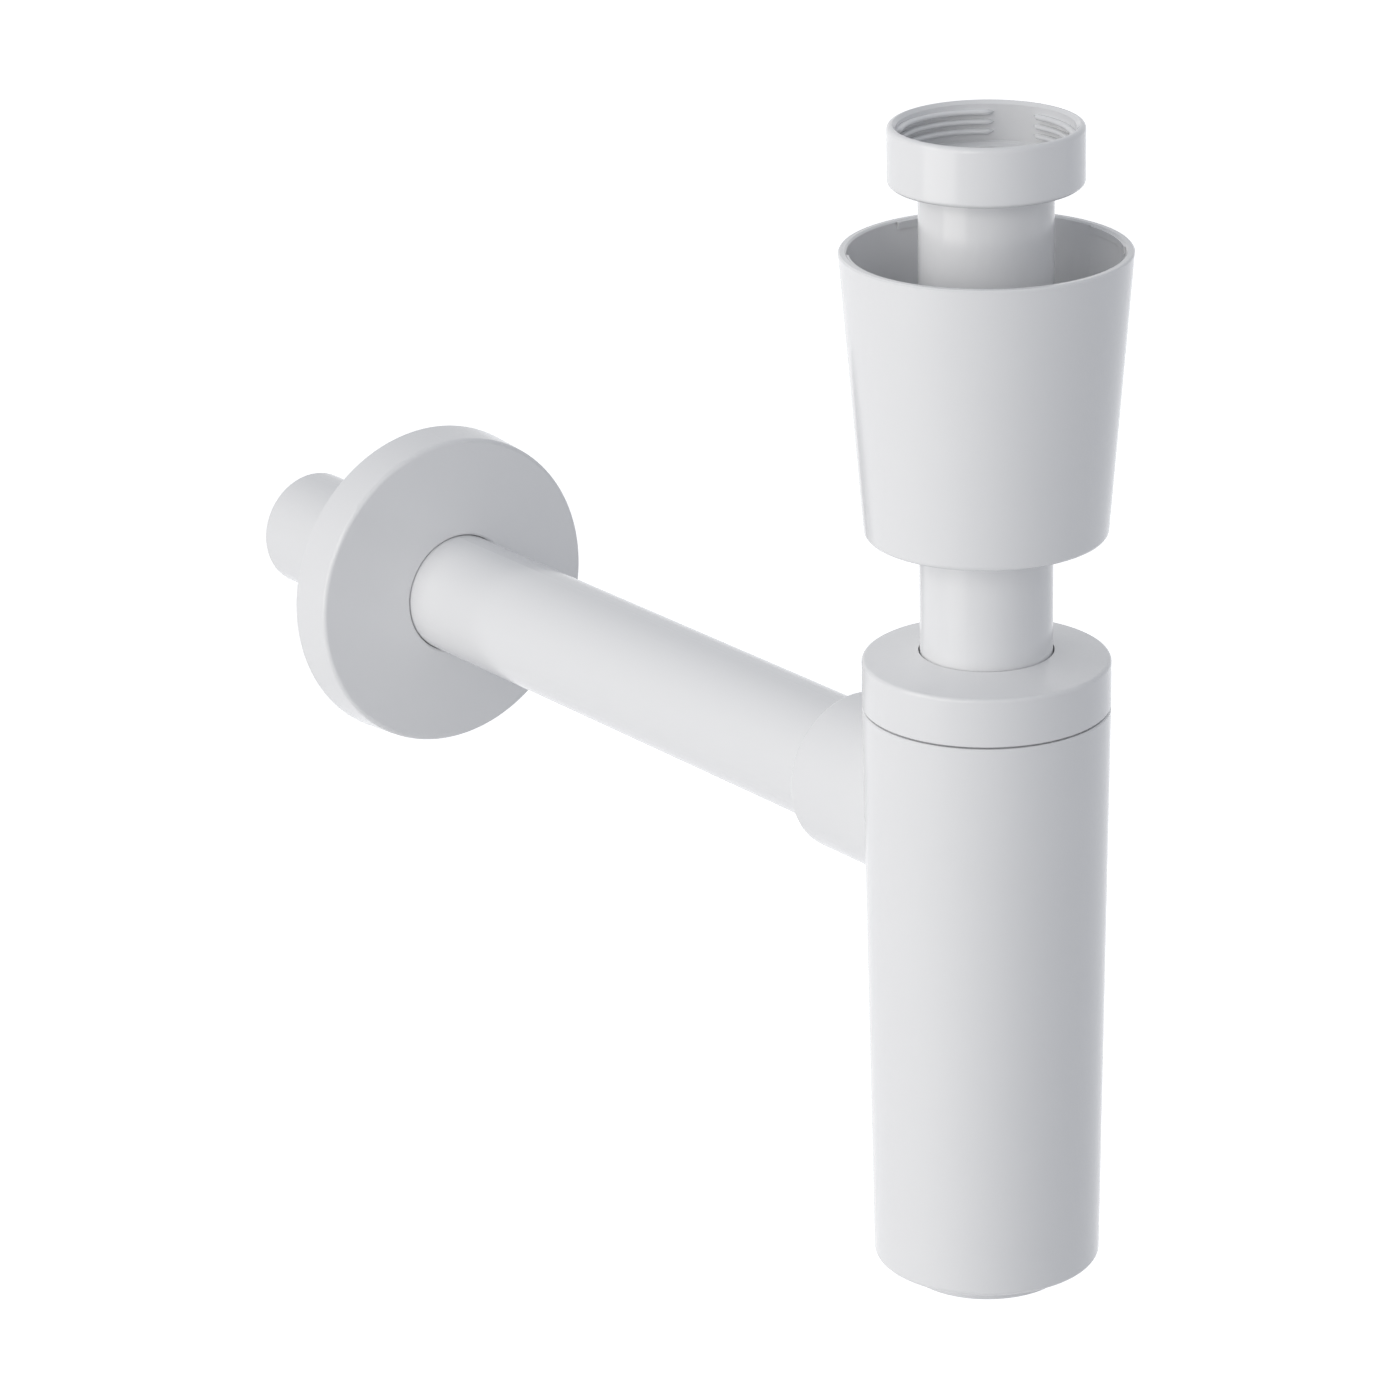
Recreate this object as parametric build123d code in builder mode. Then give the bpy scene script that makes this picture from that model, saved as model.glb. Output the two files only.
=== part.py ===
"""Bottle trap for a washbasin: dip tube with union nut and valve cover, bottle with a cap nut,
horizontal outlet pipe with a wall escutcheon, cleaning plug underneath.

Millimetres. The origin is the centre of the seal face that the basin's waste presses on,
+Z points up along the dip tube, and +Y along the outlet pipe to the wall.
"""

import os

from build123d import *

# Clearances
SLIP_GAP = 0.05  # a rubber ring or grip rib on the pipe that it holds
LOOSE_GAP = 0.35  # a hole that a tube passes freely
THREAD_GAP = 0.3  # between the tips of a male thread and the wall behind the female one
SEAM_GAP = 0.45  # the visible joint between the cap nut and the bottle

# Dip tube with its flange
TUBE_R = 32.0 / 2
TUBE_WALL = 1.8
TUBE_BELOW_OUTLET = 74.5  # from the outlet's axis down to the tube's lower end
FLANGE_R = 19.2
FLANGE_T = 1.3
CUT_EDGE = 0.4  # chamfer on a cut pipe end

# Inlet washer and inlet nut, with the G 1 1/4 thread's root as a plain wall
WASHER_T = 1.5
WASHER_BORE_R = 14.8
INLET_ROOT_R = 41.91 / 2 + 0.1
NUT_R = 46.4 / 2
NUT_H = 14.3
NUT_FLOOR_T = 1.95
NUT_EDGE_R = 1.2
NUT_MOUTH_CHAMFER = 0.8
NUT_RELIEF_RUN = 0.8  # height of the cone between the thread's end and the flange's seat

# Trim cone, the cover that slides up over the waste
CONE_H = 69.9
CONE_RIM_R = 34.75
CONE_FOOT_R = 29.15
CONE_WALL = 2.0
CONE_FLOOR_T = 2.2
CONE_RIM_EDGE = 0.4
CONE_FOOT_EDGE_R = 1.3
CONE_BELOW_NUT = 15.95  # from the nut's underside down to the cone's rim
CLIP_COUNT = 4
CLIP_ARC = 35.0
CLIP_START = 90.5  # angle where the first clip begins, counted from +X
CLIP_H = 1.8
CLIP_T = 0.5
GRIP_COUNT = 3
GRIP_H = 5.0
GRIP_COLLAR_T = 1.8
GRIP_W = 3.0

# Cap nut
CAP_BELOW_SEAL_FACE = 120.1  # from the inlet's seal face down to the top of the cap nut
CAP_H = 14.1
CAP_TOP_T = 3.3
CAP_TOP_FALL = 2.1  # the top slopes down by this from its hole to its edge
CAP_EDGE_R = 1.0
CAP_FOOT_EDGE = 0.3
CAP_WALL = 3.0  # outside the thread's root

# Rubber wedge seal and slip ring under the cap nut
SLIP_RING_T = 1.2
SEAL_RIM_T = 2.6
SEAL_RIM_GAP = 0.2  # from the seal's edge out to the neck's
SEAL_WEDGE_H = 4.0
SEAL_LIP_T = 1.4
WEDGE_GAP = 0.25

# Bottle
BODY_TOP_R = 60.0 / 2  # the cap nut is flush with it
BODY_FOOT_R = 27.95
BODY_H = 144.6  # from the shoulder under the cap nut down to the bottle's bottom
BODY_WALL = 2.3
BODY_FLOOR_T = 2.6
BODY_TOP_EDGE = 0.3
BODY_FOOT_EDGE_R = 1.3
SHOULDER_T = 2.6
NECK_THREAD_DEPTH = 1.3
NECK_BORE_GAP = 5.6  # room between the tube and the neck's bore for the wedge seal

# Outlet socket on the bottle, with the ring groove near its end
OUTLET_BELOW_CAP = 46.4  # from the top of the cap nut down to the outlet's axis
SOCKET_REACH = 51.8  # from the dip tube's axis out to the socket's end
SOCKET_R = 20.45
SOCKET_LIP_R = 1.3
SOCKET_STOP = 28.5  # the pipe can be pushed in as far as this
PORT_R = 14.4
GROOVE_FROM_END = 3.4
GROOVE_W = 4.2
GROOVE_DEPTH = 2.1
RING_SIDE_GAP = 0.05

# Outlet pipe
PIPE_R = 32.4 / 2
PIPE_END_R = 32.0 / 2  # calibrated end that goes into the waste pipe in the wall
PIPE_WALL = 1.8
PIPE_START = 34.0
PIPE_END = 296.6
PIPE_STEP = 1.2  # length of the cone between the pipe and its calibrated end

# Wall escutcheon
ESC_BACK = 238.8  # from the dip tube's axis out to the wall
ESC_R = 86.8 / 2
ESC_FRONT_R = 42.5
ESC_RIM_T = 12.2  # from the wall to the front edge
ESC_DEPTH = 15.0  # from the wall to the front of the hole
ESC_WALL = 1.9
ESC_EDGE_R = 1.3
ESC_GAP = 0.15  # the plate's hole is a close fit on the pipe
ESC_HOLE_EDGE_R = 0.6
ESC_HUB_T = 1.8
ESC_HUB_BACK_GAP = 1.2  # the hub and the ribs stay this far off the wall
ESC_RIB_COUNT = 6
ESC_RIB_T = 1.6
ESC_RIB_BACK_GAP = 4.2

# Cleaning plug under the bottle, with its flat seal
PLUG_R = 20.8
PLUG_HEAD_T = 4.45
PLUG_EDGE_R = 0.8
PLUG_CREST_R = 16.8
PLUG_THREAD_DEPTH = 1.1
PLUG_SPIGOT_H = 9.5
PLUG_WALL = 2.2
PLUG_BAR_T = 4.0
PLUG_BAR_RECESS = 0.6
PLUG_SEAL_T = 1.8
PLUG_SEAL_R = 19.6
COLLAR_R = 21.9
COLLAR_H = 8.6

# Heights, radii and places worked out from the sizes above
nut_bottom = -(WASHER_T + FLANGE_T + NUT_FLOOR_T)
cone_rim = nut_bottom - CONE_BELOW_NUT
cone_foot = cone_rim - CONE_H
cap_top = -CAP_BELOW_SEAL_FACE
cap_foot = cap_top - CAP_H
shoulder = cap_foot - SEAM_GAP
body_foot = shoulder - BODY_H
slip_ring_top = cap_top - CAP_TOP_T
seal_top = slip_ring_top - SLIP_RING_T
neck_top = seal_top - SEAL_RIM_T
outlet_z = cap_top - OUTLET_BELOW_CAP
tube_foot = outlet_z - TUBE_BELOW_OUTLET
cap_root_r = BODY_TOP_R - CAP_WALL
neck_crest_r = cap_root_r - THREAD_GAP
neck_root_r = neck_crest_r - NECK_THREAD_DEPTH
neck_bore_r = TUBE_R + NECK_BORE_GAP
neck_mouth_r = (neck_bore_r + neck_root_r) / 2
seal_rim_r = neck_root_r - SEAL_RIM_GAP
outlet_axis = Axis((0, 0, outlet_z), (0, 1, 0))
outlet_plane = Plane(origin=(0, 0, outlet_z), x_dir=(0, 1, 0), z_dir=(1, 0, 0))


def at_points(sketch, *points):
    """The vertices of a profile that stand at the given points, for a fillet or a chamfer."""
    return [
        corner
        for corner in sketch.vertices()
        if any(abs(corner.X - x) < 1e-4 and abs(corner.Y - y) < 1e-4 for x, y in points)
    ]


def write(part, name):
    """Labels a finished piece and writes it to its own file."""
    part.label = name
    export_step(part, f"parts/{name}.step")


os.makedirs("parts", exist_ok=True)

# Dip tube: a drawn tube with a flange turned out at the top
with BuildPart() as dip_tube:
    with BuildSketch(Plane.XZ) as tube_profile:
        with BuildLine():
            Polyline(
                (TUBE_R - TUBE_WALL, tube_foot),
                (TUBE_R, tube_foot),
                (TUBE_R, -WASHER_T - FLANGE_T),
                (FLANGE_R, -WASHER_T - FLANGE_T),
                (FLANGE_R, -WASHER_T),
                (TUBE_R - TUBE_WALL, -WASHER_T),
                close=True,
            )
        make_face()
        chamfer(at_points(tube_profile, (TUBE_R, tube_foot)), CUT_EDGE)
    revolve(axis=Axis.Z)
write(dip_tube.part, "dip_tube")

# Inlet washer: a flat ring on the flange, which the basin's waste presses on
with BuildPart() as inlet_washer:
    with BuildSketch(Plane.XY.offset(-WASHER_T)):
        Circle(FLANGE_R)
        Circle(WASHER_BORE_R, mode=Mode.SUBTRACT)
    extrude(amount=WASHER_T)
write(inlet_washer.part, "inlet_washer")

# Inlet nut: its floor hangs under the tube's flange, and its wall carries the thread
nut_seat_r = FLANGE_R + LOOSE_GAP
with BuildPart() as inlet_nut:
    with BuildSketch(Plane.XZ) as nut_profile:
        with BuildLine():
            Polyline(
                (TUBE_R + LOOSE_GAP, nut_bottom),
                (NUT_R, nut_bottom),
                (NUT_R, nut_bottom + NUT_H),
                (INLET_ROOT_R, nut_bottom + NUT_H),
                (INLET_ROOT_R, 0),
                (nut_seat_r, -NUT_RELIEF_RUN),
                (nut_seat_r, nut_bottom + NUT_FLOOR_T),
                (TUBE_R + LOOSE_GAP, nut_bottom + NUT_FLOOR_T),
                close=True,
            )
        make_face()
        fillet(at_points(nut_profile, (NUT_R, nut_bottom), (NUT_R, nut_bottom + NUT_H)), NUT_EDGE_R)
        chamfer(at_points(nut_profile, (INLET_ROOT_R, nut_bottom + NUT_H)), NUT_MOUTH_CHAMFER)
    revolve(axis=Axis.Z)
write(inlet_nut.part, "inlet_nut")

# Trim cone: a tapered cup with clip ribs inside its rim and grip ribs round the tube
cone_slope = (CONE_RIM_R - CONE_FOOT_R) / CONE_H
cone_inside_r = CONE_FOOT_R + cone_slope * CONE_FLOOR_T - CONE_WALL
cone_rim_inside_r = CONE_RIM_R - CONE_WALL
clip_top = cone_rim - CONE_RIM_EDGE
clip_inside_r = cone_rim_inside_r - CLIP_T
clip_root_r = cone_rim_inside_r + CONE_WALL / 2
with BuildSketch() as clip_outline:
    with BuildLine():
        clip_tip = CenterArc((0, 0), clip_inside_r, 0, CLIP_ARC)
        clip_root = CenterArc((0, 0), clip_root_r, 0, CLIP_ARC)
        Line(clip_tip @ 0, clip_root @ 0)
        Line(clip_tip @ 1, clip_root @ 1)
    make_face()
with BuildPart() as trim_cone:
    with BuildSketch(Plane.XZ) as cone_profile:
        with BuildLine():
            Polyline(
                (TUBE_R + LOOSE_GAP, cone_foot),
                (CONE_FOOT_R, cone_foot),
                (CONE_RIM_R, cone_rim),
                (cone_rim_inside_r, cone_rim),
                (cone_inside_r, cone_foot + CONE_FLOOR_T),
                (TUBE_R + LOOSE_GAP + GRIP_COLLAR_T, cone_foot + CONE_FLOOR_T),
                (TUBE_R + LOOSE_GAP + GRIP_COLLAR_T, cone_foot + CONE_FLOOR_T + GRIP_H),
                (TUBE_R + LOOSE_GAP, cone_foot + CONE_FLOOR_T + GRIP_H),
                close=True,
            )
        make_face()
        fillet(at_points(cone_profile, (CONE_FOOT_R, cone_foot)), CONE_FOOT_EDGE_R)
        fillet(at_points(cone_profile, (cone_inside_r, cone_foot + CONE_FLOOR_T)), CONE_FOOT_EDGE_R)
        chamfer(
            at_points(cone_profile, (CONE_RIM_R, cone_rim), (cone_rim_inside_r, cone_rim)),
            CONE_RIM_EDGE,
        )
    revolve(axis=Axis.Z)
    # The clip ribs stand just below the rim
    with BuildSketch(Plane.XY.offset(clip_top - CLIP_H)):
        with PolarLocations(0, CLIP_COUNT, start_angle=CLIP_START - CLIP_ARC):
            add(clip_outline.sketch)
    extrude(amount=CLIP_H)
    # The grip ribs stand in the hole and hold the cone where it is pushed
    with BuildSketch(Plane.XY.offset(cone_foot + CONE_FLOOR_T)):
        with PolarLocations(TUBE_R + SLIP_GAP + (LOOSE_GAP + GRIP_COLLAR_T) / 2, GRIP_COUNT):
            Rectangle(LOOSE_GAP + GRIP_COLLAR_T, GRIP_W)
        Circle(TUBE_R + SLIP_GAP, mode=Mode.SUBTRACT)
    extrude(amount=GRIP_H)
write(trim_cone.part, "trim_cone")

# Cap nut: a plain round nut with the tube through its gently sloping top
with BuildPart() as cap_nut:
    with BuildSketch(Plane.XZ) as cap_profile:
        with BuildLine():
            Polyline(
                (TUBE_R + LOOSE_GAP, cap_top),
                (BODY_TOP_R, cap_top - CAP_TOP_FALL),
                (BODY_TOP_R, cap_foot),
                (cap_root_r, cap_foot),
                (cap_root_r, slip_ring_top),
                (TUBE_R + LOOSE_GAP, slip_ring_top),
                close=True,
            )
        make_face()
        fillet(at_points(cap_profile, (BODY_TOP_R, cap_top - CAP_TOP_FALL)), CAP_EDGE_R)
        chamfer(at_points(cap_profile, (BODY_TOP_R, cap_foot), (cap_root_r, cap_foot)), CAP_FOOT_EDGE)
    revolve(axis=Axis.Z)
write(cap_nut.part, "cap_nut")

# Slip ring: lets the cap nut turn without dragging the rubber round
with BuildPart() as slip_ring:
    with BuildSketch(Plane.XY.offset(seal_top)):
        Circle(seal_rim_r)
        Circle(TUBE_R + LOOSE_GAP, mode=Mode.SUBTRACT)
    extrude(amount=SLIP_RING_T)
write(slip_ring.part, "slip_ring")

# Tube seal: a rubber ring whose rim lies on the neck and whose wedge closes on the tube
with BuildPart() as tube_seal:
    with BuildSketch(Plane.XZ) as seal_profile:
        with BuildLine():
            Polyline(
                (TUBE_R + SLIP_GAP, seal_top),
                (seal_rim_r, seal_top),
                (seal_rim_r, neck_top),
                (neck_mouth_r - WEDGE_GAP, neck_top),
                (neck_bore_r - WEDGE_GAP, neck_top - SEAL_WEDGE_H),
                (neck_bore_r - WEDGE_GAP, neck_top - SEAL_WEDGE_H - SEAL_LIP_T),
                (TUBE_R + SLIP_GAP, neck_top - SEAL_WEDGE_H - SEAL_LIP_T),
                close=True,
            )
        make_face()
    revolve(axis=Axis.Z)
write(tube_seal.part, "tube_seal")

# Bottle: a tapered cup with a neck for the cap nut, a socket for the outlet pipe
# and a collar in its floor for the cleaning plug, all one moulding
plug_seal_top = body_foot + PLUG_SEAL_T
collar_bore_r = PLUG_CREST_R + THREAD_GAP
collar_top = body_foot + BODY_FLOOR_T + COLLAR_H
cavity_top = shoulder - SHOULDER_T
cavity_foot = body_foot + BODY_FLOOR_T
body_slope = (BODY_TOP_R - BODY_FOOT_R) / BODY_H
cavity_top_r = BODY_TOP_R - BODY_WALL - body_slope * SHOULDER_T
cavity_foot_r = BODY_FOOT_R - BODY_WALL + body_slope * BODY_FLOOR_T
groove_start = SOCKET_REACH - GROOVE_FROM_END - GROOVE_W
with BuildPart() as trap_body:
    with BuildSketch(Plane.XZ) as body_profile:
        with BuildLine():
            Polyline(
                (0, body_foot),
                (BODY_FOOT_R, body_foot),
                (BODY_TOP_R, shoulder),
                (neck_root_r, shoulder),
                (neck_root_r, neck_top),
                (0, neck_top),
                close=True,
            )
        make_face()
        fillet(at_points(body_profile, (BODY_FOOT_R, body_foot)), BODY_FOOT_EDGE_R)
        chamfer(at_points(body_profile, (BODY_TOP_R, shoulder)), BODY_TOP_EDGE)
    revolve(axis=Axis.Z)
    # The socket's outside
    with BuildSketch(outlet_plane) as socket_profile:
        with BuildLine():
            Polyline(
                (0, 0),
                (SOCKET_REACH, 0),
                (SOCKET_REACH, SOCKET_R),
                (0, SOCKET_R),
                close=True,
            )
        make_face()
        fillet(at_points(socket_profile, (SOCKET_REACH, SOCKET_R)), SOCKET_LIP_R)
    revolve(axis=outlet_axis)
    # The neck's mouth and bore, and the cavity that holds the water
    with BuildSketch(Plane.XZ) as cavity_profile:
        with BuildLine():
            Polyline(
                (0, cavity_foot),
                (cavity_foot_r, cavity_foot),
                (cavity_top_r, cavity_top),
                (neck_bore_r, cavity_top),
                (neck_bore_r, neck_top - SEAL_WEDGE_H),
                (neck_mouth_r, neck_top),
                (0, neck_top),
                close=True,
            )
        make_face()
        fillet(at_points(cavity_profile, (cavity_top_r, cavity_top)), BODY_FOOT_EDGE_R)
    revolve(axis=Axis.Z, mode=Mode.SUBTRACT)
    # The collar stands on the floor inside
    with BuildSketch(Plane.XY.offset(cavity_foot)):
        Circle(COLLAR_R)
    extrude(amount=COLLAR_H)
    with BuildSketch(Plane.XZ) as plug_hole_profile:
        with BuildLine():
            Polyline(
                (0, body_foot),
                (PLUG_SEAL_R + RING_SIDE_GAP, body_foot),
                (PLUG_SEAL_R + RING_SIDE_GAP, plug_seal_top),
                (collar_bore_r, plug_seal_top),
                (collar_bore_r, collar_top),
                (0, collar_top),
                close=True,
            )
        make_face()
    revolve(axis=Axis.Z, mode=Mode.SUBTRACT)
    # The socket's bore, its ring groove and the port through the bottle's wall
    with BuildSketch(outlet_plane) as bore_profile:
        with BuildLine():
            Polyline(
                (0, 0),
                (SOCKET_REACH, 0),
                (SOCKET_REACH, PIPE_R + LOOSE_GAP),
                (groove_start + GROOVE_W, PIPE_R + LOOSE_GAP),
                (groove_start + GROOVE_W, PIPE_R + GROOVE_DEPTH),
                (groove_start, PIPE_R + GROOVE_DEPTH),
                (groove_start, PIPE_R + LOOSE_GAP),
                (SOCKET_STOP, PIPE_R + LOOSE_GAP),
                (SOCKET_STOP, PORT_R),
                (0, PORT_R),
                close=True,
            )
        make_face()
    revolve(axis=outlet_axis, mode=Mode.SUBTRACT)
write(trap_body.part, "trap_body")

# Outlet seal: a rubber ring in the socket's groove
with BuildPart() as outlet_seal:
    with BuildSketch(outlet_plane):
        with BuildLine():
            Polyline(
                (groove_start + RING_SIDE_GAP, PIPE_R + SLIP_GAP),
                (groove_start + GROOVE_W - RING_SIDE_GAP, PIPE_R + SLIP_GAP),
                (groove_start + GROOVE_W - RING_SIDE_GAP, PIPE_R + GROOVE_DEPTH - RING_SIDE_GAP),
                (groove_start + RING_SIDE_GAP, PIPE_R + GROOVE_DEPTH - RING_SIDE_GAP),
                close=True,
            )
        make_face()
    revolve(axis=outlet_axis)
write(outlet_seal.part, "outlet_seal")

# Outlet pipe: its calibrated end behind the escutcheon goes into the pipe in the wall
with BuildPart() as outlet_pipe:
    with BuildSketch(outlet_plane) as pipe_profile:
        with BuildLine():
            Polyline(
                (PIPE_START, PIPE_R - PIPE_WALL),
                (PIPE_END, PIPE_R - PIPE_WALL),
                (PIPE_END, PIPE_END_R),
                (ESC_BACK, PIPE_END_R),
                (ESC_BACK - PIPE_STEP, PIPE_R),
                (PIPE_START, PIPE_R),
                close=True,
            )
        make_face()
        chamfer(at_points(pipe_profile, (PIPE_START, PIPE_R), (PIPE_END, PIPE_END_R)), CUT_EDGE)
    revolve(axis=outlet_axis)
write(outlet_pipe.part, "outlet_pipe")

# Escutcheon: a thin dished plate with a hub round the pipe and ribs behind its face
esc_hole_r = PIPE_R + ESC_GAP
esc_front = ESC_BACK - ESC_DEPTH
esc_front_edge = ESC_BACK - ESC_RIM_T
esc_face_slope = (esc_front_edge - esc_front) / (ESC_FRONT_R - esc_hole_r)
hub_r = esc_hole_r + ESC_HUB_T
hub_back = ESC_BACK - ESC_HUB_BACK_GAP
rim_slope = (ESC_R - ESC_FRONT_R) / ESC_RIM_T
inside_rim_r = ESC_FRONT_R - ESC_WALL + rim_slope * ESC_WALL
inside_hub_y = esc_front + ESC_WALL + esc_face_slope * ESC_HUB_T
inside_rim_y = esc_front + ESC_WALL + esc_face_slope * (inside_rim_r - esc_hole_r)
with BuildPart() as escutcheon:
    with BuildSketch(outlet_plane) as esc_profile:
        with BuildLine():
            Polyline(
                (esc_front, esc_hole_r),
                (esc_front_edge, ESC_FRONT_R),
                (ESC_BACK, ESC_R),
                (ESC_BACK, ESC_R - ESC_WALL),
                (inside_rim_y, inside_rim_r),
                (inside_hub_y, hub_r),
                (hub_back, hub_r),
                (hub_back, esc_hole_r),
                close=True,
            )
        make_face()
        fillet(at_points(esc_profile, (esc_front_edge, ESC_FRONT_R)), ESC_EDGE_R)
        fillet(at_points(esc_profile, (esc_front, esc_hole_r)), ESC_HOLE_EDGE_R)
    revolve(axis=outlet_axis)
    # The ribs run from the hub to the rim
    rib_plane = Plane(origin=(0, ESC_BACK - ESC_RIB_BACK_GAP, outlet_z), x_dir=(1, 0, 0), z_dir=(0, -1, 0))
    with BuildSketch(rib_plane):
        with PolarLocations((hub_r + inside_rim_r) / 2, ESC_RIB_COUNT):
            Rectangle(inside_rim_r - hub_r + ESC_HUB_T, ESC_RIB_T)
    extrude(until=Until.NEXT)
    # The grip ribs in the hub hold the escutcheon where it is pushed
    grip_plane = Plane(origin=(0, hub_back, outlet_z), x_dir=(1, 0, 0), z_dir=(0, -1, 0))
    with BuildSketch(grip_plane):
        with PolarLocations(PIPE_R + SLIP_GAP + (ESC_GAP + ESC_HUB_T) / 2, GRIP_COUNT, start_angle=90):
            Rectangle(ESC_GAP + ESC_HUB_T, GRIP_W)
        Circle(PIPE_R + SLIP_GAP, mode=Mode.SUBTRACT)
    extrude(amount=GRIP_H)
write(escutcheon.part, "escutcheon")

# Cleaning plug: a hollow screwed plug with a bar across its recess to turn it by
plug_head_top = body_foot
plug_foot = plug_head_top - PLUG_HEAD_T
spigot_top = plug_head_top + PLUG_SPIGOT_H
plug_core_r = PLUG_CREST_R - PLUG_THREAD_DEPTH
recess_r = plug_core_r - PLUG_WALL
recess_h = spigot_top - PLUG_WALL - plug_foot
with BuildPart() as cleaning_plug:
    with BuildSketch(Plane.XZ) as plug_profile:
        with BuildLine():
            Polyline(
                (0, spigot_top - PLUG_WALL),
                (recess_r, spigot_top - PLUG_WALL),
                (recess_r, plug_foot),
                (PLUG_R, plug_foot),
                (PLUG_R, plug_head_top),
                (plug_core_r, plug_head_top),
                (plug_core_r, spigot_top),
                (0, spigot_top),
                close=True,
            )
        make_face()
        fillet(at_points(plug_profile, (PLUG_R, plug_foot)), PLUG_EDGE_R)
        chamfer(at_points(plug_profile, (plug_core_r, spigot_top)), CUT_EDGE)
    revolve(axis=Axis.Z)
    with BuildSketch(Plane.XY.offset(plug_foot + PLUG_BAR_RECESS)):
        Rectangle(2 * recess_r + PLUG_WALL, PLUG_BAR_T)
    extrude(amount=recess_h - PLUG_BAR_RECESS + PLUG_WALL / 2)
write(cleaning_plug.part, "cleaning_plug")

# Plug seal: a flat rubber ring in the recess round the plug's hole
with BuildPart() as plug_seal:
    with BuildSketch(Plane.XY.offset(body_foot)):
        Circle(PLUG_SEAL_R)
        Circle(plug_core_r + SLIP_GAP, mode=Mode.SUBTRACT)
    extrude(amount=PLUG_SEAL_T)
write(plug_seal.part, "plug_seal")
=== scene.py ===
"""Bottle trap for a washbasin, dressed for the studio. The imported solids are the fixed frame, and this file
adds their finishes, the screw threads, the camera and the light. Metres, in the same frame as the solids."""

import math

import bmesh
import bpy
from mathutils import Matrix, Vector


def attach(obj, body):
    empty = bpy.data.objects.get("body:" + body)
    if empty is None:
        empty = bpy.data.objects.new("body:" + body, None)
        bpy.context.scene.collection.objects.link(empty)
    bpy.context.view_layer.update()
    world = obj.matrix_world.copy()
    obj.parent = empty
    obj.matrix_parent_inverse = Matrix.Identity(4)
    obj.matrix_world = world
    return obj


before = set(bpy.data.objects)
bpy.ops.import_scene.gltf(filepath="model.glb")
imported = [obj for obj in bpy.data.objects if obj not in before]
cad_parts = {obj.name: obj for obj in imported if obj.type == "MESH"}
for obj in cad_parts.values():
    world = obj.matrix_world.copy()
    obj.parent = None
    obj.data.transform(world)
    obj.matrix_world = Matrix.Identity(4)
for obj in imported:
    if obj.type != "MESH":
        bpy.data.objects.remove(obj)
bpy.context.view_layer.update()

# DIP TUBE
# A drawn polypropylene tube with a flange turned out at its top, which the inlet nut pulls up.
# The drawing leaves faint streaks along it, and the natural satin of the plastic between them.


def skin_group():
    """The surface that all the plastic and rubber pieces share: soft clouds of tone, and a fine orange peel."""
    group = bpy.data.node_groups.new("moulded skin", "ShaderNodeTree")
    face = group.interface
    face.new_socket("Place", in_out="INPUT", socket_type="NodeSocketVector")
    face.new_socket("Light tone", in_out="INPUT", socket_type="NodeSocketColor")
    face.new_socket("Deep tone", in_out="INPUT", socket_type="NodeSocketColor")
    face.new_socket("Cloud scale", in_out="INPUT", socket_type="NodeSocketFloat")
    face.new_socket("Peel scale", in_out="INPUT", socket_type="NodeSocketFloat")
    face.new_socket("Least roughness", in_out="INPUT", socket_type="NodeSocketFloat")
    face.new_socket("Most roughness", in_out="INPUT", socket_type="NodeSocketFloat")
    face.new_socket("Color", in_out="OUTPUT", socket_type="NodeSocketColor")
    face.new_socket("Roughness", in_out="OUTPUT", socket_type="NodeSocketFloat")
    face.new_socket("Height", in_out="OUTPUT", socket_type="NodeSocketFloat")
    nodes, link = group.nodes, group.links.new
    given = nodes.new("NodeGroupInput")
    made = nodes.new("NodeGroupOutput")
    clouds = nodes.new("ShaderNodeTexNoise")
    clouds.inputs["Detail"].default_value = 3.0
    clouds.inputs["Roughness"].default_value = 0.5
    link(given.outputs["Place"], clouds.inputs["Vector"])
    link(given.outputs["Cloud scale"], clouds.inputs["Scale"])
    tone = nodes.new("ShaderNodeMix")
    tone.data_type = "RGBA"
    link(clouds.outputs["Fac"], tone.inputs["Factor"])
    link(given.outputs["Deep tone"], tone.inputs["A"])
    link(given.outputs["Light tone"], tone.inputs["B"])
    link(tone.outputs["Result"], made.inputs["Color"])
    peel = nodes.new("ShaderNodeTexNoise")
    peel.inputs["Detail"].default_value = 2.0
    link(given.outputs["Place"], peel.inputs["Vector"])
    link(given.outputs["Peel scale"], peel.inputs["Scale"])
    link(peel.outputs["Fac"], made.inputs["Height"])
    satin = nodes.new("ShaderNodeMapRange")
    link(clouds.outputs["Fac"], satin.inputs["Value"])
    link(given.outputs["Least roughness"], satin.inputs["To Min"])
    link(given.outputs["Most roughness"], satin.inputs["To Max"])
    link(satin.outputs["Result"], made.inputs["Roughness"])
    return group


skin = skin_group()


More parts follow.
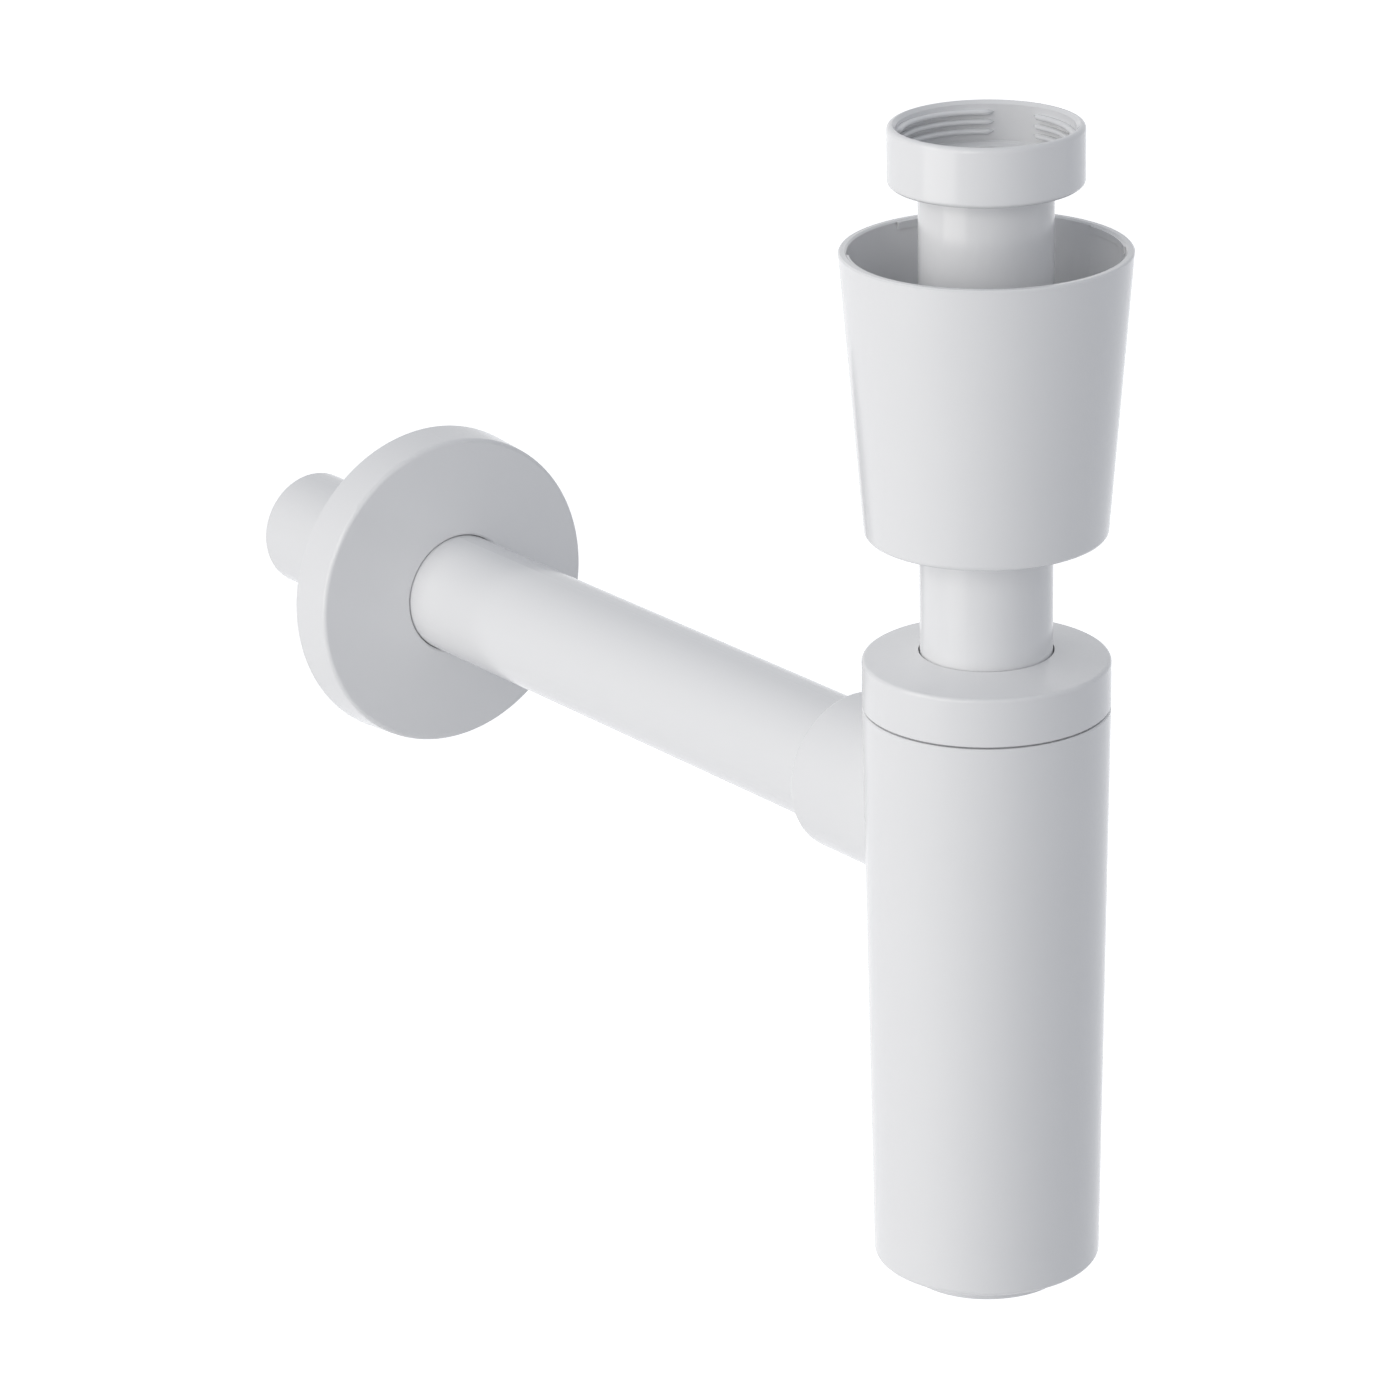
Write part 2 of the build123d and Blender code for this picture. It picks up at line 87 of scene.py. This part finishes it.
def finish_for(name, light, deep, clouds, peel, roughness, peel_depth, stretch=(1, 1, 1), gloss=0.5):
    """A plastic or rubber finish. stretch draws its pattern out along an axis, as on a drawn tube."""
    material = bpy.data.materials.new(name)
    material.use_nodes = True
    nodes, link = material.node_tree.nodes, material.node_tree.links.new
    shader = nodes["Principled BSDF"]
    shader.inputs["Specular IOR Level"].default_value = gloss
    place = nodes.new("ShaderNodeTexCoord")
    drawn = nodes.new("ShaderNodeMapping")
    drawn.inputs["Scale"].default_value = stretch
    surface = nodes.new("ShaderNodeGroup")
    surface.node_tree = skin
    surface.inputs["Light tone"].default_value = (*light, 1)
    surface.inputs["Deep tone"].default_value = (*deep, 1)
    surface.inputs["Cloud scale"].default_value = clouds
    surface.inputs["Peel scale"].default_value = peel
    surface.inputs["Least roughness"].default_value = roughness[0]
    surface.inputs["Most roughness"].default_value = roughness[1]
    bump = nodes.new("ShaderNodeBump")
    bump.inputs["Strength"].default_value = 1.0
    bump.inputs["Distance"].default_value = peel_depth
    link(place.outputs["Object"], drawn.inputs["Vector"])
    link(drawn.outputs["Vector"], surface.inputs["Place"])
    link(surface.outputs["Color"], shader.inputs["Base Color"])
    link(surface.outputs["Roughness"], shader.inputs["Roughness"])
    link(surface.outputs["Height"], bump.inputs["Height"])
    link(bump.outputs["Normal"], shader.inputs["Normal"])
    return material


def dress(node, material):
    """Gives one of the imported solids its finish."""
    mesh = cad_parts[node].data
    mesh.materials.clear()
    mesh.materials.append(material)


WHITE = (0.845, 0.85, 0.86)
WHITE_DEEP = (0.825, 0.83, 0.84)
SATIN = (0.15, 0.19)
STREAK = 0.05  # how much the pattern is drawn out along a tube
drawn_upright = finish_for(
    "drawn white tube",
    WHITE,
    WHITE_DEEP,
    clouds=60,
    peel=900,
    roughness=SATIN,
    peel_depth=0.00002,
    stretch=(1, 1, STREAK),
)
dress("dip_tube", drawn_upright)

# INLET WASHER
# A flat ring of light grey rubber, punched from sheet, which lies on the tube's flange inside the nut.
# The basin's waste presses on it, and only its top shows through the nut.
washer_grey = finish_for(
    "pale grey rubber",
    (0.87, 0.875, 0.88),
    (0.83, 0.835, 0.84),
    clouds=150,
    peel=2400,
    roughness=(0.5, 0.65),
    peel_depth=0.00003,
)
dress("inlet_washer", washer_grey)

# INLET NUT
# A moulded coupling nut that hangs on the flange and screws onto the basin's waste. Its thread is cut
# by three smooth gaps, where the moulding core's three jaws close, so it is nine short runs.
moulded_white = finish_for(
    "moulded white", WHITE, WHITE_DEEP, clouds=28, peel=1300, roughness=SATIN, peel_depth=0.000015
)
dress("inlet_nut", moulded_white)
THREAD_SINK = 0.0003  # how deep a thread's root is buried in the wall that it stands on
THREAD_SIDES = 16
THREAD_STEP = 4  # degrees of turn from one cross-section to the next
RUN_OUT = 0.2  # what is left of the cross-section at a run's ends


def thread_run(name, wall_r, tip_r, pitch, half_height, foot_z, start, sweep):
    """One run of a round-crested right-hand thread on the Z axis, from the angle start over the angle sweep
    in degrees. Its ends run out into the wall that it stands on."""
    root_r = wall_r + math.copysign(THREAD_SINK, wall_r - tip_r)
    centre_r, half_depth = (root_r + tip_r) / 2, abs(root_r - tip_r) / 2
    bpy.ops.object.select_all(action="DESELECT")
    bpy.ops.mesh.primitive_circle_add(
        vertices=THREAD_SIDES,
        radius=1,
        fill_type="NOTHING",
        location=(centre_r, 0, foot_z),
        rotation=(math.pi / 2, 0, 0),
    )
    run = bpy.context.object
    run.name = run.data.name = name
    run.scale = (half_depth, half_height, 1)
    bpy.ops.object.transform_apply(location=True, rotation=True, scale=True)
    bpy.ops.object.modifier_add(type="SCREW")
    wind = run.modifiers[-1]
    wind.axis, wind.angle, wind.screw_offset = "Z", math.radians(sweep), pitch * sweep / 360
    wind.steps = wind.render_steps = max(3, round(sweep / THREAD_STEP))
    bpy.ops.object.modifier_apply(modifier=wind.name)
    run.rotation_euler[2] = math.radians(start)
    bpy.ops.object.transform_apply(location=True, rotation=True, scale=True)
    bpy.ops.object.mode_set(mode="EDIT")
    bpy.ops.mesh.select_mode(type="VERT")
    for turned in (0, sweep):
        angle = math.radians(start + turned)
        root = Vector((root_r * math.cos(angle), root_r * math.sin(angle), foot_z + pitch * turned / 360))
        bpy.ops.mesh.select_all(action="DESELECT")
        mesh = bmesh.from_edit_mesh(run.data)
        for vert in mesh.verts:
            vert.select = vert.is_boundary and (vert.co - root).length < 3 * half_depth
        mesh.select_flush(True)
        bmesh.update_edit_mesh(run.data)
        bpy.ops.transform.resize(value=(RUN_OUT, RUN_OUT, RUN_OUT), center_override=root)
    bpy.ops.mesh.select_all(action="SELECT")
    bpy.ops.mesh.fill_holes(sides=0)
    bpy.ops.mesh.normals_make_consistent(inside=False)
    bpy.ops.object.mode_set(mode="OBJECT")
    return run


def one_thread(name, runs, body, material):
    """Joins a thread's runs into one piece, which rides on a body in that body's finish."""
    bpy.ops.object.select_all(action="DESELECT")
    for run in runs:
        run.select_set(True)
    bpy.context.view_layer.objects.active = runs[0]
    bpy.ops.object.join()
    thread = bpy.context.object
    thread.name = thread.data.name = name
    bpy.ops.object.shade_smooth_by_angle(angle=math.radians(50))
    thread.data.materials.append(material)
    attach(thread, body)
    return thread


INLET_PITCH = 0.002309
INLET_WALL_R = 0.021055
INLET_CREST_R = 0.01948
INLET_HALF_HEIGHT = 0.29 * INLET_PITCH
INLET_FOOT_Z = 0.00195
INLET_TURNS = 3
INLET_JAWS = 3
INLET_JAW_ANGLE = 360 / INLET_JAWS
INLET_GAP_AT = 18.0
INLET_GAP = 27.0
inlet_runs = []
for turn in range(INLET_TURNS):
    for jaw in range(INLET_JAWS):
        run_start = INLET_GAP_AT + INLET_GAP + INLET_JAW_ANGLE * (jaw - 1)
        run_foot = INLET_FOOT_Z + INLET_PITCH * (turn + run_start / 360)
        inlet_runs.append(
            thread_run(
                f"inlet_run_{turn}{jaw}",
                INLET_WALL_R,
                INLET_CREST_R,
                INLET_PITCH,
                INLET_HALF_HEIGHT,
                run_foot,
                run_start,
                INLET_JAW_ANGLE - INLET_GAP,
            )
        )
one_thread("inlet_nut_thread", inlet_runs, "inlet_nut", moulded_white)

# TRIM CONE
# The tapered cover that slides up over the waste, a thin moulded cup. Four short ribs inside its rim
# clip over the waste, and three small ribs in its foot grip the tube.
dress("trim_cone", moulded_white)

# CAP NUT
# The plain round nut that presses the seal down on the bottle's neck. It is moulded, with a coarse
# rounded thread inside its skirt.
dress("cap_nut", moulded_white)
CAP_PITCH = 0.003
CAP_WALL_R = 0.027
CAP_CREST_R = 0.0258
CAP_THREAD_HALF_HEIGHT = 0.0007
CAP_THREAD_FOOT_Z = -0.1328
CAP_THREAD_START = 180
CAP_THREAD_SWEEP = 480
cap_run = thread_run(
    "cap_run",
    CAP_WALL_R,
    CAP_CREST_R,
    CAP_PITCH,
    CAP_THREAD_HALF_HEIGHT,
    CAP_THREAD_FOOT_Z,
    CAP_THREAD_START,
    CAP_THREAD_SWEEP,
)
one_thread("cap_nut_thread", [cap_run], "cap_nut", moulded_white)

# SLIP RING
# A thin hard ring of milky plastic between the cap nut and the seal, so that the nut turns without
# dragging the rubber round. It is punched flat and has a slight shine.
milky = finish_for(
    "milky plastic",
    (0.76, 0.76, 0.73),
    (0.71, 0.71, 0.68),
    clouds=90,
    peel=1800,
    roughness=(0.25, 0.32),
    peel_depth=0.00001,
)
dress("slip_ring", milky)

# TUBE SEAL
# The rubber ring whose wedge closes on the dip tube when the cap nut presses it into the neck.
# Black moulded rubber, dull, with a faint bloom.
rubber_black = finish_for(
    "black rubber",
    (0.055, 0.055, 0.06),
    (0.04, 0.04, 0.044),
    clouds=120,
    peel=2600,
    roughness=(0.55, 0.7),
    peel_depth=0.00003,
    gloss=0.4,
)
dress("tube_seal", rubber_black)

# BOTTLE
# The tapered cup that holds the water, moulded in one with its neck, its outlet socket and the
# threaded collar in its floor. The neck's thread starts half a pitch above the cap nut's.
dress("trap_body", moulded_white)
NECK_WALL_R = 0.0254
NECK_CREST_R = 0.0266
NECK_THREAD_SWEEP = 330
neck_run = thread_run(
    "neck_run",
    NECK_WALL_R,
    NECK_CREST_R,
    CAP_PITCH,
    CAP_THREAD_HALF_HEIGHT,
    CAP_THREAD_FOOT_Z + CAP_PITCH / 2,
    CAP_THREAD_START,
    NECK_THREAD_SWEEP,
)
one_thread("neck_thread", [neck_run], "trap_body", moulded_white)
PLUG_PITCH = 0.0025
COLLAR_WALL_R = 0.0171
COLLAR_CREST_R = 0.01605
COLLAR_THREAD_HALF_HEIGHT = 0.0006
COLLAR_THREAD_FOOT_Z = -0.2762
COLLAR_THREAD_SWEEP = 900
collar_run = thread_run(
    "collar_run",
    COLLAR_WALL_R,
    COLLAR_CREST_R,
    PLUG_PITCH,
    COLLAR_THREAD_HALF_HEIGHT,
    COLLAR_THREAD_FOOT_Z,
    0,
    COLLAR_THREAD_SWEEP,
)
one_thread("collar_thread", [collar_run], "trap_body", moulded_white)

# OUTLET SEAL
# The rubber ring in the groove of the outlet socket, which the pipe slides through.
# The same black rubber as the tube's seal.
dress("outlet_seal", rubber_black)

# OUTLET PIPE
# A drawn tube like the dip tube, with a slightly smaller calibrated end for the pipe in the wall.
# Its streaks run along it, towards the wall.
drawn_level = finish_for(
    "drawn white pipe",
    WHITE,
    WHITE_DEEP,
    clouds=60,
    peel=900,
    roughness=SATIN,
    peel_depth=0.00002,
    stretch=(1, STREAK, 1),
)
dress("outlet_pipe", drawn_level)

# ESCUTCHEON
# The round wall plate that slides on the pipe and hides the hole in the wall. A thin moulding with a
# hub and ribs behind its face.
dress("escutcheon", moulded_white)

# CLEANING PLUG
# The screwed plug in the bottle's floor, with a bar across its recess to turn it by.
# Its thread meshes with the collar's, half a pitch off.
dress("cleaning_plug", moulded_white)
PLUG_WALL_R = 0.0157
PLUG_CREST_R = 0.01675
PLUG_THREAD_SWEEP = 630
plug_run = thread_run(
    "plug_run",
    PLUG_WALL_R,
    PLUG_CREST_R,
    PLUG_PITCH,
    COLLAR_THREAD_HALF_HEIGHT,
    COLLAR_THREAD_FOOT_Z + PLUG_PITCH / 2,
    0,
    PLUG_THREAD_SWEEP,
)
one_thread("plug_thread", [plug_run], "cleaning_plug", moulded_white)

# PLUG SEAL
# The flat black ring that the plug's head presses against the bottle's floor.
dress("plug_seal", rubber_black)

# CAMERA
# A long lens at the photograph's own angle: looking down by 20.5 degrees, from the left of the wall
# side's front, with a slight roll.
YAW, PITCH, ROLL = math.radians(-36.7227), math.radians(20.5215), math.radians(-1.1175)
CAMERA_AT = (-0.81295, -0.974464, 0.342484)
FRAME_PIXELS = 1400
FOCAL_PIXELS = 5621.5
SENSOR_WIDTH = 36  # millimetres, as Blender counts lenses
forward = Vector((-math.sin(YAW) * math.cos(PITCH), math.cos(YAW) * math.cos(PITCH), -math.sin(PITCH)))
level_right = Vector((math.cos(YAW), math.sin(YAW), 0))
level_up = level_right.cross(forward)
right = math.cos(ROLL) * level_right + math.sin(ROLL) * level_up
up = math.cos(ROLL) * level_up - math.sin(ROLL) * level_right
lens = bpy.data.cameras.new("camera")
lens.sensor_width = SENSOR_WIDTH
lens.lens = FOCAL_PIXELS / FRAME_PIXELS * SENSOR_WIDTH
camera = bpy.data.objects.new("camera", lens)
bpy.context.scene.collection.objects.link(camera)
aim = Matrix((right, up, -forward)).transposed().to_4x4()
camera.matrix_world = Matrix.Translation(CAMERA_AT) @ aim
bpy.context.scene.camera = camera

# FLOOR
# A wide pale floor well under the hanging trap, so that its shadow falls below the picture.
# What the camera sees of it is lifted to white, less the shadow.
FLOOR_Z = -0.9
FLOOR_WIDTH = 24
FLOOR_LIFT = 0.75
bpy.ops.object.select_all(action="DESELECT")
bpy.ops.mesh.primitive_plane_add(size=FLOOR_WIDTH, location=(0, 0, FLOOR_Z))
floor = bpy.context.object
floor.name = "floor"
pale = bpy.data.materials.new("pale floor")
pale.use_nodes = True
floor_nodes, floor_link = pale.node_tree.nodes, pale.node_tree.links.new
floor_shader = floor_nodes["Principled BSDF"]
floor_shader.inputs["Base Color"].default_value = (0.82, 0.82, 0.82, 1)
floor_shader.inputs["Roughness"].default_value = 0.9
floor_shader.inputs["Specular IOR Level"].default_value = 0.0
floor_shader.inputs["Emission Color"].default_value = (1, 1, 1, 1)
floor_rays = floor_nodes.new("ShaderNodeLightPath")
seen = floor_nodes.new("ShaderNodeMath")
seen.operation = "MAXIMUM"
lift = floor_nodes.new("ShaderNodeMath")
lift.operation = "MULTIPLY"
lift.inputs[1].default_value = FLOOR_LIFT
floor_link(floor_rays.outputs["Is Camera Ray"], seen.inputs[0])
floor_link(floor_rays.outputs["Is Glossy Ray"], seen.inputs[1])
floor_link(seen.outputs["Value"], lift.inputs[0])
floor_link(lift.outputs["Value"], floor_shader.inputs["Emission Strength"])
floor.data.materials.append(pale)

# LIGHT
# One wide soft box to the camera's left, whose edge shows in the nut and the tubes, two small lamps above
# it, a weak fill to the right, and an even, slightly cool room, which looks white to the camera and in gloss.
ROOM_LIGHT = 0.46
ROOM_TINT = (0.9, 0.93, 1.0)
LAMP_TINT = (1.0, 0.972, 0.925)
LAMP_DISTANCE = 1.5
TRAP_MIDDLE = Vector((0, 0.11, -0.13))
world = bpy.data.worlds.new("room")
bpy.context.scene.world = world
world.use_nodes = True
room_nodes, room_link = world.node_tree.nodes, world.node_tree.links.new
background = room_nodes["Background"]
tint = room_nodes.new("ShaderNodeMix")
tint.data_type = "RGBA"
tint.inputs["A"].default_value = (*ROOM_TINT, 1)
tint.inputs["B"].default_value = (1, 1, 1, 1)
rays = room_nodes.new("ShaderNodeLightPath")
direct = room_nodes.new("ShaderNodeMath")
direct.operation = "MAXIMUM"
shown = room_nodes.new("ShaderNodeMath")
shown.operation = "MAXIMUM"
level = room_nodes.new("ShaderNodeMapRange")
level.inputs["To Min"].default_value = ROOM_LIGHT
level.inputs["To Max"].default_value = 1.0
room_link(rays.outputs["Is Camera Ray"], direct.inputs[0])
room_link(rays.outputs["Is Glossy Ray"], direct.inputs[1])
room_link(direct.outputs["Value"], shown.inputs[0])
room_link(rays.outputs["Is Transmission Ray"], shown.inputs[1])
room_link(shown.outputs["Value"], tint.inputs["Factor"])
room_link(tint.outputs["Result"], background.inputs["Color"])
room_link(shown.outputs["Value"], level.inputs["Value"])
room_link(level.outputs["Result"], background.inputs["Strength"])


def soft_box(name, azimuth, elevation, size, power):
    """A rectangular lamp that looks at the middle of the trap from the given side."""
    a, e = math.radians(azimuth), math.radians(elevation)
    towards = Vector((math.cos(a) * math.cos(e), math.sin(a) * math.cos(e), math.sin(e)))
    light = bpy.data.lights.new(name, "AREA")
    light.shape, light.size, light.size_y, light.energy = "RECTANGLE", size[0], size[1], power
    light.color = LAMP_TINT
    lamp = bpy.data.objects.new(name, light)
    bpy.context.scene.collection.objects.link(lamp)
    lamp.location = TRAP_MIDDLE + towards * LAMP_DISTANCE
    lamp.rotation_euler = towards.to_track_quat("Z", "Y").to_euler()
    lamp.visible_camera = False
    return lamp


soft_box("left soft box", azimuth=178, elevation=8.5, size=(1.2, 1.5), power=9.0)
soft_box("high front lamp", azimuth=212, elevation=24, size=(0.6, 0.6), power=2.6)
soft_box("high left lamp", azimuth=160, elevation=40, size=(0.6, 0.6), power=1.9)
soft_box("right fill", azimuth=315, elevation=12.5, size=(0.8, 1.35), power=0.8)

bpy.context.scene.view_settings.view_transform = "Standard"
